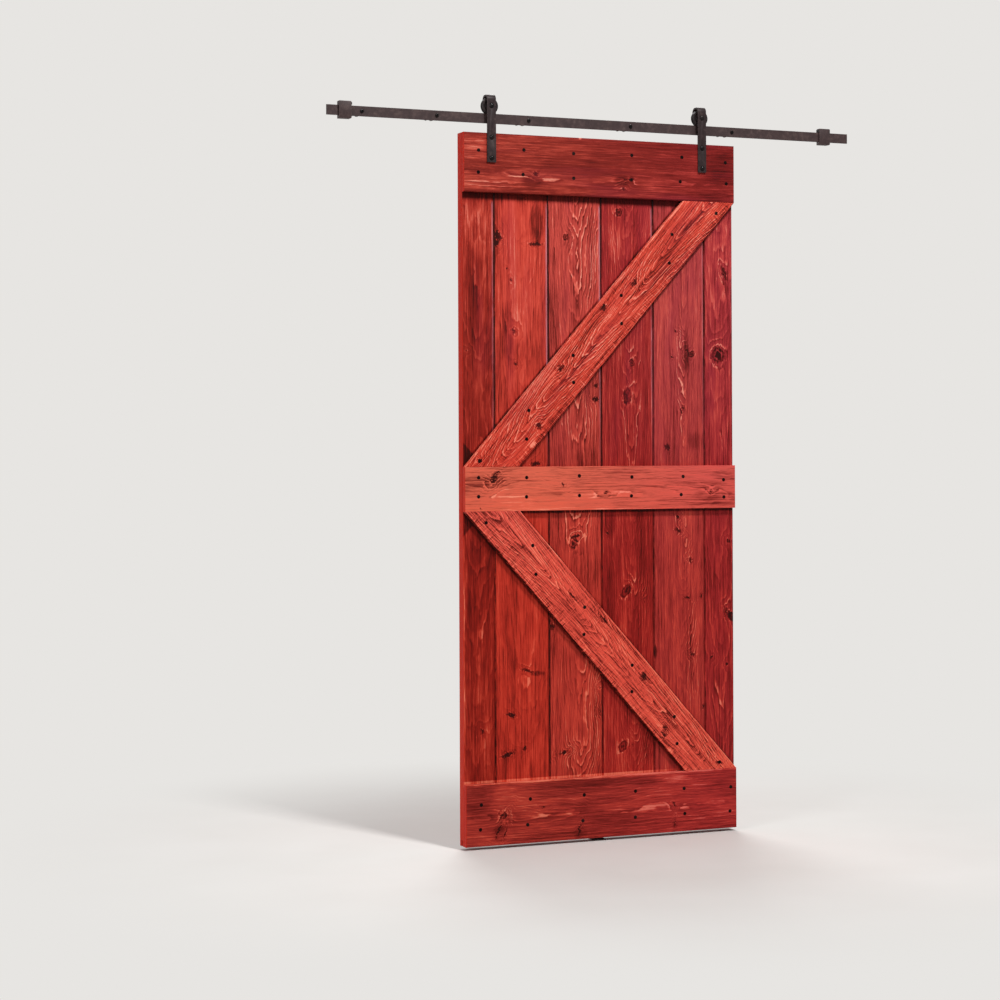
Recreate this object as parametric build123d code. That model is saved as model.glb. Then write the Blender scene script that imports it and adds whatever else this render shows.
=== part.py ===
from build123d import *
from math import asin, cos, hypot, sin, sqrt
import os

# Sliding barn door of stained pine boards, hung by two strap hangers from a flat steel track.
# Units are millimetres. X runs along the track, to the right as seen from the room.
# Y runs into the wall, whose face is the plane y = 0, and Z is up.
# The origin is on the wall face, on the axis of the middle lag screw.

# Track
track_length = 1760.0
track_height = 30.0
track_thickness = 5.0
track_edge_round = 0.8
lag_from_track_end = (109.0, 345.0, 643.0, 986.0, 1340.0)
origin_lag = 2

# Wall fixings
wall_spacer_length = 46.0
wall_spacer_diameter = 20.0
lag_shank_diameter = 6.4
lag_thread_diameter = 6.0
lag_thread_length = 45.0
lag_point_length = 7.0
lag_head_diameter = 11.0
lag_head_height = 3.6
lag_head_bevel = 1.5
lag_socket_size = 4.0
lag_socket_depth = 2.0
lag_clearance = 0.2

# End stops
stop_length = 38.0
stop_depth = 20.0
stop_rise = 12.0
stop_fall = 9.0
stop_corner_round = 3.5
stop_slot_clearance = 0.2
left_stop_from_end = 36.5
right_stop_from_end = 67.8
pad_depth = 6.0
pad_proud = 3.0
pad_width = 14.0
pad_height = 7.5
pad_above_track = 2.0
stop_screw_diameter = 6.0
stop_screw_spacing = 20.0
stop_screw_socket = 3.0
stop_screw_socket_depth = 3.0
thread_clearance = 0.05

# Door leaf
edge_plank_width = 101.6
inner_plank_width = 177.8
inner_plank_count = 4
plank_thickness = 34.9
batten_thickness = 15.9
door_height = 2133.6
top_rail_height = 178.0
middle_rail_height = 133.0
bottom_rail_height = 186.0
brace_width = 133.0
joint_chamfer = 3.0
board_edge_round = 1.6
tongue_length = 8.0
tongue_thickness = 8.0
tongue_clearance = 0.3
door_below_track = 30.0
door_from_track_end = 426.0

# Hangers
left_hanger_inset = 89.0
right_hanger_inset = 114.4
strap_width = 28.0
strap_thickness = 5.0
strap_gap = 28.0
strap_bend_radius = 10.0
strap_over_wheel = 2.6
strap_below_door_top = 88.0
strap_rear_end_round = 11.0
strap_rear_below_axle = 13.0
strap_corner_round = 1.5

# Wheels and their bearings
tread_radius = 22.0
flange_radius = 26.0
wheel_width = 16.0
groove_side_clearance = 0.5
groove_mouth_widening = 1.6
flange_chamfer = 1.5
rolling_gap = 0.3
rim_inner_radius = 19.0
wheel_web_recess = 2.0
wheel_web_slope = 1.0
hub_wall = 2.5
bearing_shoulder = 1.8
bearing_diameter = 22.0
bearing_bore = 8.0
bearing_width = 7.0
bearing_ring_thickness = 1.8
bearing_shield_thickness = 0.6
bearing_shield_gap = 0.3

# Hanger fasteners
bolt_clearance = 0.05
bolt_hole_clearance = 0.2
axle_head_diameter = 15.6
axle_head_height = 4.6
axle_spacer_diameter = 12.0
nut_width = 13.0
axle_nut_height = 6.5
bolt_end_proud = 2.0
strap_bolt_diameter = 8.0
strap_bolt_head_diameter = 14.4
strap_bolt_head_height = 5.4
strap_bolt_drops = (12.0, 75.0)
bolt_rim_height = 1.2
nut_flange_diameter = 16.0
nut_flange_height = 2.0
strap_nut_height = 8.0
nut_recess_depth = 9.0
nut_recess_clearance = 1.0

# Floor guide
floor_gap = 10.0
guide_from_door_edge = 447.0
guide_length = 40.0
guide_width = 46.0
guide_plate_thickness = 3.0
guide_fin_thickness = 5.0
guide_fin_in_groove = 15.0
guide_groove_clearance = 0.8
guide_groove_depth = 18.0
guide_hole_diameter = 4.6
guide_countersink_diameter = 9.0
guide_hole_spacing = 30.0

# Places along X
track_left = -lag_from_track_end[origin_lag]
track_right = track_left + track_length
lag_places = [track_left + distance for distance in lag_from_track_end]
door_left = track_left + door_from_track_end
plank_widths = [edge_plank_width] + [inner_plank_width] * inner_plank_count + [edge_plank_width]
plank_edges = [door_left + sum(plank_widths[:count]) for count in range(len(plank_widths) + 1)]
door_right = plank_edges[-1]
door_width = door_right - door_left
hangers = {"left": door_left + left_hanger_inset, "right": door_right - right_hanger_inset}
guide_place = door_left + guide_from_door_edge

# Places along Y, from the wall towards the room
track_back = -wall_spacer_length
track_front = track_back - track_thickness
track_middle = (track_back + track_front) / 2
door_front = track_middle - strap_gap / 2
plank_front = door_front + batten_thickness
plank_back = plank_front + plank_thickness
plank_middle = (plank_front + plank_back) / 2
strap_front = door_front - strap_thickness
strap_rear_inner = track_middle + strap_gap / 2
strap_back = strap_rear_inner + strap_thickness

# Places along Z
track_top = track_height / 2
door_top = -track_top - door_below_track
door_bottom = door_top - door_height
door_centre = (door_top + door_bottom) / 2
top_rail_bottom = door_top - top_rail_height
middle_rail_top = door_centre + middle_rail_height / 2
middle_rail_bottom = door_centre - middle_rail_height / 2
bottom_rail_top = door_bottom + bottom_rail_height
axle_height = track_top + rolling_gap + tread_radius
strap_top = axle_height + flange_radius + strap_over_wheel + strap_thickness
strap_bottom = door_top - strap_below_door_top
floor_height = door_bottom - floor_gap


def block(x0, x1, y0, y1, z0, z1):
    """A box between two corners."""
    middle = ((x0 + x1) / 2, (y0 + y1) / 2, (z0 + z1) / 2)
    return Pos(*middle) * Box(x1 - x0, y1 - y0, z1 - z0)


def turned(outline, x, z):
    """A solid of revolution about the line through x and z along Y.

    The outline is a list of (radius, y) points.
    """
    face = make_face(Polyline(*outline, close=True))
    return Pos(x, 0, z) * revolve(face, Axis.Y)


def rod(diameter, x, z, y0, y1):
    """A round bar along Y."""
    radius = diameter / 2
    return turned([(0, y0), (radius, y0), (radius, y1), (0, y1)], x, z)


def hexagon(width, x, z, y0, y1):
    """A hexagonal bar along Y, its width measured across the flats."""
    outline = RegularPolygon(width / 2, 6, major_radius=False)
    bar = extrude(Plane.XZ * outline, amount=-(y1 - y0))
    return Pos(x, y0, z) * bar


def domed_bolt(diameter, length, head_diameter, head_height, x, z, y_seat):
    """A bolt along Y with a low domed head on the room side of its seat."""
    radius = diameter / 2
    head_radius = head_diameter / 2
    rim = y_seat - bolt_rim_height
    crown = y_seat - head_height
    end = y_seat + length
    dome_height = rim - crown
    dome_radius = (head_radius**2 + dome_height**2) / (2 * dome_height)
    half_angle = asin(head_radius / dome_radius) / 2
    midway = (dome_radius * sin(half_angle), crown + dome_radius * (1 - cos(half_angle)))
    dome = ThreePointArc((0, crown), midway, (head_radius, rim))
    sides = Polyline(
        (head_radius, rim), (head_radius, y_seat), (radius, y_seat), (radius, end), (0, end), (0, crown)
    )
    return Pos(x, 0, z) * revolve(make_face([dome, sides]), Axis.Y)


def strap_bolt_heights():
    """Heights of the two bolts that hold a strap to the door."""
    return [door_top - drop for drop in strap_bolt_drops]


def strap_bolt_places():
    """The (x, z) places of all strap bolts."""
    return [(x, z) for x in hangers.values() for z in strap_bolt_heights()]


def with_bolt_holes(board, y0, y1):
    """The board with a hole for each strap bolt that crosses it."""
    for x, z in strap_bolt_places():
        board -= rod(strap_bolt_diameter + 2 * bolt_hole_clearance, x, z, y0, y1)
    return board


def make_plank(number):
    """One upright board: a tongue on its right edge and a groove in its left one."""
    left = plank_edges[number]
    right = plank_edges[number + 1]
    is_first = number == 0
    is_last = number == len(plank_widths) - 1
    board = block(left, right, plank_front, plank_back, door_bottom, door_top)
    left_corners = board.edges().filter_by(Axis.Z).group_by(Axis.X)[0]
    board = chamfer(left_corners, board_edge_round if is_first else joint_chamfer)
    right_corners = board.edges().filter_by(Axis.Z).group_by(Axis.X)[-1]
    board = chamfer(right_corners, board_edge_round if is_last else joint_chamfer)
    half = tongue_thickness / 2
    if not is_last:
        tongue_end = right + tongue_length
        board += block(right, tongue_end, plank_middle - half, plank_middle + half, door_bottom, door_top)
    if not is_first:
        reach = half + tongue_clearance
        groove_end = left + tongue_length + tongue_clearance
        board -= block(left, groove_end, plank_middle - reach, plank_middle + reach, door_bottom, door_top)
    groove_half = guide_fin_thickness / 2 + guide_groove_clearance
    board -= block(
        left - tongue_length,
        right + 2 * tongue_length,
        plank_middle - groove_half,
        plank_middle + groove_half,
        door_bottom,
        door_bottom + guide_groove_depth,
    )
    board = with_bolt_holes(board, plank_front, plank_back)
    recess = nut_flange_diameter + 2 * nut_recess_clearance
    for x, z in strap_bolt_places():
        board -= rod(recess, x, z, plank_back - nut_recess_depth, plank_back)
    return board


def make_rail(z0, z1):
    """A board across the front of the planks, its front corners eased."""
    board = block(door_left, door_right, door_front, plank_front, z0, z1)
    front = board.faces().sort_by(Axis.Y)[0]
    return fillet(front.edges(), board_edge_round)


def make_brace(z_left, z_right):
    """A slanted board whose level ends fill the corners between two rails.

    Its lower or upper left end starts at the door's left edge, at height z_left,
    and its other end reaches the door's right edge, at height z_right.
    """
    rise = z_right - z_left
    height = abs(rise)
    diagonal = sqrt(door_width**2 + height**2 - brace_width**2)
    run = (door_width * height**2 - brace_width * height * diagonal) / (height**2 - brace_width**2)
    level_cut = brace_width * hypot(run, height) / height
    outline = Polyline(
        (door_left, z_left),
        (door_left + level_cut, z_left),
        (door_left + run + level_cut, z_right),
        (door_left + run, z_right),
        close=True,
    )
    board = extrude(Plane.XZ.offset(-plank_front) * make_face(outline), amount=batten_thickness)
    front = board.faces().sort_by(Axis.Y)[0]
    return fillet(front.edges(), board_edge_round)


def make_track_rail():
    """The flat bar that the wheels run on."""
    bar = block(track_left, track_right, track_front, track_back, -track_top, track_top)
    bar = fillet(bar.edges().filter_by(Axis.X), track_edge_round)
    for x in lag_places:
        bar -= rod(lag_shank_diameter + 2 * lag_clearance, x, 0, track_front, track_back)
    return bar


def make_wall_spacer(x):
    """The tube that holds the track off the wall."""
    tube = rod(wall_spacer_diameter, x, 0, track_back, 0)
    return tube - rod(lag_shank_diameter + 2 * lag_clearance, x, 0, track_back, 0)


def make_lag_screw(x):
    """The screw through track and spacer, with its free thread beyond the wall face."""
    shank = lag_shank_diameter / 2
    thread = lag_thread_diameter / 2
    head = lag_head_diameter / 2
    crown = track_front - lag_head_height
    outline = [
        (0, crown),
        (head - lag_head_bevel, crown),
        (head, crown + lag_head_bevel),
        (head, track_front),
        (shank, track_front),
        (shank, 0),
        (thread, 0),
        (thread, lag_thread_length),
        (0, lag_thread_length + lag_point_length),
    ]
    screw = turned(outline, x, 0)
    return screw - hexagon(lag_socket_size, x, 0, crown, crown + lag_socket_depth)


def stop_places():
    """The left end of each stop, with the side that faces the door."""
    left = track_left + left_stop_from_end
    right = track_right - right_stop_from_end - stop_length
    return {"left": (left, 1), "right": (right, -1)}


def pad_span(x, side, depth_in, depth_out):
    """The X span of the pad or its pocket on the side of a stop that faces the door."""
    face = x + stop_length if side > 0 else x
    return sorted((face - side * depth_in, face + side * depth_out))


def stop_screw_places(x):
    """The X places of the two grub screws of a stop."""
    centre = x + stop_length / 2
    return [centre - stop_screw_spacing / 2, centre + stop_screw_spacing / 2]


def make_stop(x, side):
    """The block that closes around the track and limits the door's travel."""
    front = track_middle - stop_depth / 2
    back = track_middle + stop_depth / 2
    body = block(x, x + stop_length, front, back, -track_top - stop_fall, track_top + stop_rise)
    right_corners = body.edges().filter_by(Axis.Y).group_by(Axis.X)[-1]
    body = fillet(right_corners, stop_corner_round)
    gap = stop_slot_clearance
    body -= block(
        x, x + stop_length, track_front - gap, track_back + gap, -track_top - gap, track_top + gap
    )
    pocket_left, pocket_right = pad_span(x, side, pad_depth - pad_proud, 0)
    pad_bottom = track_top + pad_above_track
    body -= block(
        pocket_left,
        pocket_right,
        track_middle - pad_width / 2,
        track_middle + pad_width / 2,
        pad_bottom,
        pad_bottom + pad_height,
    )
    for screw_x in stop_screw_places(x):
        body -= rod(stop_screw_diameter + 2 * thread_clearance, screw_x, 0, track_back, back)
    return body


def make_stop_pad(x, side):
    """The rubber pad that the wheel's flanges meet."""
    left, right = pad_span(x, side, pad_depth - pad_proud, pad_proud)
    pad_bottom = track_top + pad_above_track
    pad = block(
        left,
        right,
        track_middle - pad_width / 2,
        track_middle + pad_width / 2,
        pad_bottom,
        pad_bottom + pad_height,
    )
    return pad


def make_stop_screws(x):
    """Two grub screws that press on the back of the track."""
    back = track_middle + stop_depth / 2
    screws = []
    for screw_x in stop_screw_places(x):
        screw = rod(stop_screw_diameter, screw_x, 0, track_back, back)
        socket = hexagon(stop_screw_socket, screw_x, 0, back - stop_screw_socket_depth, back)
        screws.append(screw - socket)
    return Compound(children=screws)


def make_strap(x):
    """The flat bar that lies on the door, folds over the wheel and ends behind its axle."""
    rear_end = axle_height - strap_rear_below_axle
    outline = Polyline(
        (strap_front, strap_bottom),
        (strap_front, strap_top),
        (strap_back, strap_top),
        (strap_back, rear_end),
        (strap_rear_inner, rear_end),
        (strap_rear_inner, strap_top - strap_thickness),
        (door_front, strap_top - strap_thickness),
        (door_front, strap_bottom),
        close=True,
    )
    profile = make_face(outline)
    outer_corners = profile.vertices().group_by(Axis.Y)[-1]
    profile = fillet(outer_corners, strap_bend_radius + strap_thickness)
    inner_corners = profile.vertices().group_by(Axis.Y)[-2]
    profile = fillet(inner_corners, strap_bend_radius)
    bar = extrude(Plane.YZ.offset(x - strap_width / 2) * profile, amount=strap_width)
    rear_corners = bar.edges().filter_by(Axis.Y).group_by(Axis.Z)[1]
    bar = fillet(rear_corners, strap_rear_end_round)
    lowest_corners = bar.edges().filter_by(Axis.Y).group_by(Axis.Z)[0]
    bar = fillet(lowest_corners, strap_corner_round)
    bar -= rod(bearing_bore + 2 * bolt_clearance, x, axle_height, strap_front, strap_back)
    for z in strap_bolt_heights():
        bar -= rod(strap_bolt_diameter + 2 * bolt_clearance, x, z, strap_front, door_front)
    return bar


def make_wheel(x):
    """A grooved wheel with dished sides, bored for its bearing from the wall side."""
    half = wheel_width / 2
    groove = track_thickness / 2 + groove_side_clearance
    mouth = groove + groove_mouth_widening
    pocket = bearing_diameter / 2
    hub = pocket + hub_wall
    web = half - wheel_web_recess
    right_side = [
        (tread_radius, groove),
        (flange_radius, mouth),
        (flange_radius, half - flange_chamfer),
        (flange_radius - flange_chamfer, half),
        (rim_inner_radius, half),
        (rim_inner_radius - wheel_web_slope, web),
        (hub + wheel_web_slope, web),
        (hub, half),
    ]
    left_side = [(radius, -y) for radius, y in reversed(right_side)]
    shoulder_radius = pocket - bearing_shoulder
    bore = [
        (pocket, half),
        (pocket, -bearing_width / 2),
        (shoulder_radius, -bearing_width / 2),
        (shoulder_radius, -half),
    ]
    outline = [(radius, track_middle + y) for radius, y in right_side + bore + left_side]
    return turned(outline, x, axle_height)


def make_bearing_outer(x):
    """The bearing's outer ring with its two shields."""
    outer = bearing_diameter / 2
    race = outer - bearing_ring_thickness
    shield = bearing_bore / 2 + bearing_ring_thickness + bearing_shield_gap
    half = bearing_width / 2
    inside = half - bearing_shield_thickness
    outline = [
        (outer, -half),
        (outer, half),
        (shield, half),
        (shield, inside),
        (race, inside),
        (race, -inside),
        (shield, -inside),
        (shield, -half),
    ]
    return turned([(radius, track_middle + y) for radius, y in outline], x, axle_height)


def tube(inner, outer, x, z, y0, y1):
    """A round tube along Y, given by its two radii."""
    return turned([(inner, y0), (outer, y0), (outer, y1), (inner, y1)], x, z)


def make_bearing_inner(x):
    """The bearing's inner ring."""
    bore = bearing_bore / 2
    half = bearing_width / 2
    outer = bore + bearing_ring_thickness
    return tube(bore, outer, x, axle_height, track_middle - half, track_middle + half)


def make_axle_spacers(x):
    """The two tubes that centre the bearing between the strap's legs."""
    bore = bearing_bore / 2
    outer = axle_spacer_diameter / 2
    half = bearing_width / 2
    front = tube(bore, outer, x, axle_height, door_front, track_middle - half)
    rear = tube(bore, outer, x, axle_height, track_middle + half, strap_rear_inner)
    return Compound(children=[front, rear])


def make_axle_bolt(x):
    """The wheel's axle, a domed bolt through both legs of the strap."""
    length = strap_back - strap_front + axle_nut_height + bolt_end_proud
    diameter = bearing_bore - 2 * bolt_clearance
    return domed_bolt(
        diameter, length, axle_head_diameter, axle_head_height, x, axle_height, strap_front
    )


def make_axle_nut(x):
    """The nut behind the strap."""
    nut = hexagon(nut_width, x, axle_height, strap_back, strap_back + axle_nut_height)
    return nut - rod(bearing_bore, x, axle_height, strap_back, strap_back + axle_nut_height)


def make_strap_bolts(x):
    """The domed bolts that clamp the strap to the door."""
    seat = strap_front
    nut_seat = plank_back - nut_recess_depth
    length = nut_seat + strap_nut_height - seat
    diameter = strap_bolt_diameter - 2 * bolt_clearance
    return Compound(
        children=[
            domed_bolt(diameter, length, strap_bolt_head_diameter, strap_bolt_head_height, x, z, seat)
            for z in strap_bolt_heights()
        ]
    )


def make_strap_nuts(x):
    """Flanged nuts sunk in the back of the door."""
    seat = plank_back - nut_recess_depth
    nuts = []
    for z in strap_bolt_heights():
        nut = rod(nut_flange_diameter, x, z, seat, seat + nut_flange_height)
        nut += hexagon(nut_width, x, z, seat + nut_flange_height, seat + strap_nut_height)
        nut -= rod(strap_bolt_diameter, x, z, seat, seat + strap_nut_height)
        nuts.append(nut)
    return Compound(children=nuts)


def make_floor_guide():
    """The plate on the floor whose fin keeps the door's lower edge in line."""
    x0 = guide_place - guide_length / 2
    x1 = guide_place + guide_length / 2
    plate_top = floor_height + guide_plate_thickness
    plate_front = plank_middle - guide_width / 2
    plate_back = plank_middle + guide_width / 2
    fin_half = guide_fin_thickness / 2
    fin_top = door_bottom + guide_fin_in_groove
    guide = block(x0, x1, plate_front, plate_back, floor_height, plate_top)
    guide += block(x0, x1, plank_middle - fin_half, plank_middle + fin_half, floor_height, fin_top)
    for offset in (-guide_hole_spacing / 2, guide_hole_spacing / 2):
        hole = CounterSinkHole(guide_hole_diameter / 2, guide_countersink_diameter / 2, floor_gap)
        guide -= Pos(guide_place, plank_middle + offset, plate_top) * hole
    return guide


def make_nodes():
    """All sub-parts by name."""
    nodes = {f"plank_{number + 1}": make_plank(number) for number in range(len(plank_widths))}
    nodes["top_rail"] = with_bolt_holes(make_rail(top_rail_bottom, door_top), door_front, plank_front)
    nodes["middle_rail"] = make_rail(middle_rail_bottom, middle_rail_top)
    nodes["bottom_rail"] = make_rail(door_bottom, bottom_rail_top)
    nodes["upper_brace"] = make_brace(middle_rail_top, top_rail_bottom)
    nodes["lower_brace"] = make_brace(middle_rail_bottom, bottom_rail_top)
    for side, x in hangers.items():
        nodes[f"{side}_strap"] = make_strap(x)
        nodes[f"{side}_wheel"] = make_wheel(x)
        nodes[f"{side}_bearing_outer"] = make_bearing_outer(x)
        nodes[f"{side}_bearing_inner"] = make_bearing_inner(x)
        nodes[f"{side}_axle_bolt"] = make_axle_bolt(x)
        nodes[f"{side}_axle_nut"] = make_axle_nut(x)
        nodes[f"{side}_axle_spacers"] = make_axle_spacers(x)
        nodes[f"{side}_strap_bolts"] = make_strap_bolts(x)
        nodes[f"{side}_strap_nuts"] = make_strap_nuts(x)
    nodes["track_rail"] = make_track_rail()
    for number, x in enumerate(lag_places, 1):
        nodes[f"wall_spacer_{number}"] = make_wall_spacer(x)
        nodes[f"lag_screw_{number}"] = make_lag_screw(x)
    for name, (x, side) in stop_places().items():
        nodes[f"{name}_stop"] = make_stop(x, side)
        nodes[f"{name}_stop_pad"] = make_stop_pad(x, side)
        nodes[f"{name}_stop_screws"] = make_stop_screws(x)
    nodes["floor_guide"] = make_floor_guide()
    return nodes


os.makedirs("parts", exist_ok=True)
for name, shape in make_nodes().items():
    export_step(shape, f"parts/{name}.step")
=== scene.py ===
"""Looks of the sliding barn door: stained pine boards, dark bronze track and hangers.

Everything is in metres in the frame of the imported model: X runs along the track, Y into the
wall, Z is up, and the origin is on the wall face at the middle lag screw. Sizes of the small
pieces are written in millimetres and multiplied by MM.
"""

import math

import bmesh
import bpy
from mathutils import Matrix, Vector


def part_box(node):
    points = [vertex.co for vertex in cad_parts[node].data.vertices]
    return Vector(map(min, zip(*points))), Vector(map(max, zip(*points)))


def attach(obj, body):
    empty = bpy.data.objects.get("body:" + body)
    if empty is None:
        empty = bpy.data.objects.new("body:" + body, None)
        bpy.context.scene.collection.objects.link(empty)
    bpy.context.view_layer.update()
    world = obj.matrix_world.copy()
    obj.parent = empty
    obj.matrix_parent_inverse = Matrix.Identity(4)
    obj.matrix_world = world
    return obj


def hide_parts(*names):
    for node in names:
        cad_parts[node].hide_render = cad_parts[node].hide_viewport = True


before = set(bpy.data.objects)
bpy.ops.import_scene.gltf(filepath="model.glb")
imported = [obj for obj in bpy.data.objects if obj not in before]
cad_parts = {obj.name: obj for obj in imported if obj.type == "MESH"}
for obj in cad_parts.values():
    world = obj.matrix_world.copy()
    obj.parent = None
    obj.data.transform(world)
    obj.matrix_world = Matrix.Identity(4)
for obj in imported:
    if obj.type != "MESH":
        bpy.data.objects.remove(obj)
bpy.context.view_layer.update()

MM = 0.001
SIDES = ("left", "right")
LAG_COUNT = 5


def box(node):
    """The lowest and highest corners of a node's box, in millimetres."""
    low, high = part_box(node)
    return low / MM, high / MM


# Places of the door leaf in the frame, in millimetres
DOOR_LEFT, DOOR_FRONT, _ = box("top_rail")[0]
DOOR_RIGHT, PLANK_FRONT, DOOR_TOP = box("top_rail")[1]
DOOR_WIDTH = DOOR_RIGHT - DOOR_LEFT

# A distance so large that a mark on a face goes right through the board
DEEP = 1000.0


# Node trees


class Signal:
    """A number that varies over a surface. Arithmetic on it adds Math nodes to its tree."""

    def __init__(self, tree, socket):
        self.tree = tree
        self.socket = socket

    def __add__(self, other):
        return self.tree.math("ADD", self, other)

    __radd__ = __add__

    def __sub__(self, other):
        return self.tree.math("SUBTRACT", self, other)

    def __rsub__(self, other):
        return self.tree.math("SUBTRACT", other, self)

    def __mul__(self, other):
        return self.tree.math("MULTIPLY", self, other)

    __rmul__ = __mul__

    def __truediv__(self, other):
        return self.tree.math("DIVIDE", self, other)

    def __neg__(self):
        return self.tree.math("MULTIPLY", self, -1.0)


def linear(colour):
    """A colour written as three sRGB numbers from 0 to 255, as Blender's linear colour."""
    parts = []
    for part in colour:
        share = part / 255
        parts.append(share / 12.92 if share <= 0.04045 else ((share + 0.055) / 1.055) ** 2.4)
    return (*parts, 1.0)


def blended(one, other, share):
    """The sRGB colour that lies a share of the way from one to the other."""
    return tuple(a + (b - a) * share for a, b in zip(one, other))


class Tree:
    """A material with one Principled shader, and short calls for the nodes that feed it."""

    def __init__(self, name):
        self.material = bpy.data.materials.new(name)
        self.material.use_nodes = True
        self.nodes = self.material.node_tree.nodes
        self.links = self.material.node_tree.links
        self.nodes.clear()
        self.shader = self.nodes.new("ShaderNodeBsdfPrincipled")
        self.output = self.nodes.new("ShaderNodeOutputMaterial")
        self.links.new(self.shader.outputs["BSDF"], self.output.inputs["Surface"])

    def plug(self, socket, value):
        """Links a signal to a socket, or sets the socket to a plain value."""
        if isinstance(value, Signal):
            self.links.new(value.socket, socket)
        else:
            socket.default_value = value

    def math(self, operation, *values, clamp=False):
        node = self.nodes.new("ShaderNodeMath")
        node.operation = operation
        node.use_clamp = clamp
        for socket, value in zip(node.inputs, values):
            self.plug(socket, value)
        return Signal(self, node.outputs[0])

    def clamp(self, value):
        return self.math("ADD", value, 0.0, clamp=True)

    def root(self, value):
        return self.math("SQRT", value)

    def distance(self, one, other):
        return self.math("ABSOLUTE", one - other)

    def fade(self, squared):
        """1 where squared is 0, falling smoothly to 0 as it grows."""
        return self.math("EXPONENT", -squared)

    def step(self, value, low, high):
        """0 below low, 1 above high and smooth between them. It runs down if low is above high."""
        node = self.nodes.new("ShaderNodeMapRange")
        node.interpolation_type = "SMOOTHSTEP"
        self.plug(node.inputs["Value"], value)
        ends = (low, high, 0.0, 1.0) if low < high else (high, low, 1.0, 0.0)
        for socket_name, number in zip(("From Min", "From Max", "To Min", "To Max"), ends):
            node.inputs[socket_name].default_value = number
        return Signal(self, node.outputs["Result"])

    def object_place(self):
        """The point in metres. Every piece's object sits at the origin, so this is the frame."""
        return Signal(self, self.nodes.new("ShaderNodeTexCoord").outputs["Object"])

    def place(self):
        """The point in millimetres."""
        return self.scaled(self.object_place(), (1 / MM, 1 / MM, 1 / MM))

    def vector_math(self, operation, *values, output="Vector"):
        node = self.nodes.new("ShaderNodeVectorMath")
        node.operation = operation
        for socket, value in zip(node.inputs, values):
            self.plug(socket, value)
        return Signal(self, node.outputs[output])

    def scaled(self, vector, scale, offset=(0.0, 0.0, 0.0)):
        """The vector times scale, plus offset, part by part."""
        return self.vector_math("MULTIPLY_ADD", vector, scale, offset)

    def dot(self, vector, direction):
        return self.vector_math("DOT_PRODUCT", vector, direction, output="Value")

    def length(self, vector):
        return self.vector_math("LENGTH", vector, output="Value")

    def joined(self, x, y, z):
        node = self.nodes.new("ShaderNodeCombineXYZ")
        for socket, value in zip(node.inputs, (x, y, z)):
            self.plug(socket, value)
        return Signal(self, node.outputs["Vector"])

    def noise_node(self, vector, size, seed, detail, roughness):
        """A noise texture whose features have the given size, along each part of the vector."""
        steps = size if isinstance(size, tuple) else (size, size, size)
        scale = tuple(1.0 / step for step in steps)
        offset = (seed * 3.17, seed * 5.31, seed * 7.73)
        node = self.nodes.new("ShaderNodeTexNoise")
        self.plug(node.inputs["Vector"], self.scaled(vector, scale, offset))
        node.inputs["Scale"].default_value = 1.0
        node.inputs["Detail"].default_value = detail
        node.inputs["Roughness"].default_value = roughness
        return node

    def noise(self, vector, size, seed=0.0, detail=2.0, roughness=0.5):
        """Soft noise about 0, mostly within -0.5 to 0.5."""
        node = self.noise_node(vector, size, seed, detail, roughness)
        return (Signal(self, node.outputs["Fac"]) - 0.5) * 2.0

    def jitter(self, vector, size, seed, reach):
        """A small vector that wanders about 0, mostly within half of reach each way."""
        node = self.noise_node(vector, size, seed, 3.0, 0.6)
        spread = (2.0 * reach,) * 3
        return self.scaled(Signal(self, node.outputs["Color"]), spread, (-reach,) * 3)

    def reach(self, face, place, slope, length, width):
        """The distance from a place on the door's face, in half sizes of an oval at that slope."""
        node = self.nodes.new("ShaderNodeMapping")
        node.vector_type = "TEXTURE"
        self.plug(node.inputs["Vector"], face)
        node.inputs["Location"].default_value = (place[0], 0.0, place[1])
        node.inputs["Rotation"].default_value = (0.0, -slope, 0.0)
        node.inputs["Scale"].default_value = (length, DEEP, width)
        return self.length(Signal(self, node.outputs["Vector"]))

    def chance(self, value):
        """A fixed random number from 0 to 1 for each whole number."""
        node = self.nodes.new("ShaderNodeTexWhiteNoise")
        node.noise_dimensions = "1D"
        self.plug(node.inputs["W"], value)
        return Signal(self, node.outputs["Value"])

    def ramp(self, value, stops):
        """The colour at value on a line of (place, sRGB colour) stops."""
        node = self.nodes.new("ShaderNodeValToRGB")
        line = node.color_ramp
        while len(line.elements) < len(stops):
            line.elements.new(1.0)
        for element, (place, colour) in zip(line.elements, stops):
            element.position = place
            element.color = linear(colour)
        self.plug(node.inputs["Fac"], value)
        return Signal(self, node.outputs["Color"])

    def mix(self, share, one, other):
        """The colour that lies a share of the way from one to the other."""
        node = self.nodes.new("ShaderNodeMix")
        node.data_type = "RGBA"
        self.plug(node.inputs["Factor"], share)
        for socket, colour in zip((node.inputs[6], node.inputs[7]), (one, other)):
            self.plug(socket, colour if isinstance(colour, Signal) else linear(colour))
        return Signal(self, node.outputs[2])

    def multiplied_tint(self, share, colour, stain):
        """The colour multiplied by a share of the stain: a deeper coat of it, and also painted shade
        and shadow.
        """
        mixed = self.mix(share, colour, stain)
        mixed.socket.node.blend_type = "MULTIPLY"
        return mixed

    def relief(self, height):
        """Tilts the surface by a height given in millimetres."""
        node = self.nodes.new("ShaderNodeBump")
        node.inputs["Distance"].default_value = MM
        self.plug(node.inputs["Height"], height)
        self.links.new(node.outputs["Normal"], self.shader.inputs["Normal"])

    def set(self, **values):
        """Sets inputs of the shader: spaces in their names are written as underscores."""
        for name, value in values.items():
            self.plug(self.shader.inputs[name.replace("_", " ")], value)


# Stained pine
# Places on the door's face are (across, down): millimetres from its upper left corner.


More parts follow.
